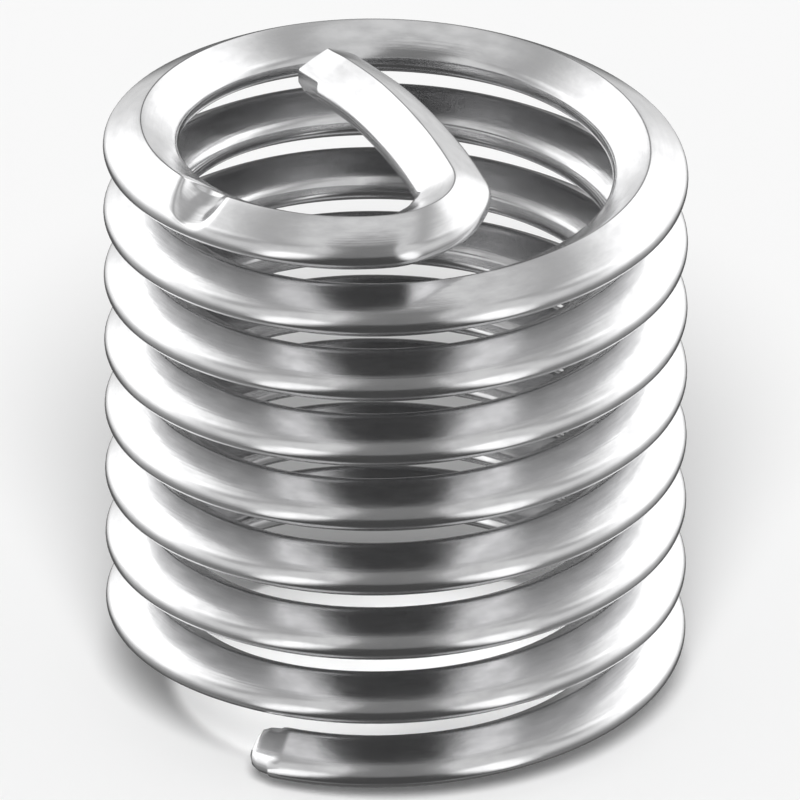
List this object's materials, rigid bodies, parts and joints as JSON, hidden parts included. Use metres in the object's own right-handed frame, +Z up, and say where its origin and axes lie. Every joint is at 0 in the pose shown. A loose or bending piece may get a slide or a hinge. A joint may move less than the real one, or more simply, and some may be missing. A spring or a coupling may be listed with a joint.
{
  "type": "helical thread insert",
  "caption": "Coil of diamond-section stainless wire that lines a tapped hole with a new internal thread, with a driving tang across its top.",
  "frame": {"origin": "on the coil's axis, at the height of the plain end's lowest ridge", "axes": "+Z up along the coil's axis from the plain end to the tang; -Y faces the viewer, with the plain end's cut at the lower left and the tang running away to the upper left; +X to the viewer's right"},
  "size_m": [0.0124, 0.0124, 0.0141],
  "materials": {
    "stainless_wire": "bright drawn and rolled stainless steel wire, smooth flanks with faint lengthwise drawing marks"
  },
  "bodies": {
    "root": {"thread_insert": "stainless_wire"}
  },
  "joints": []
}
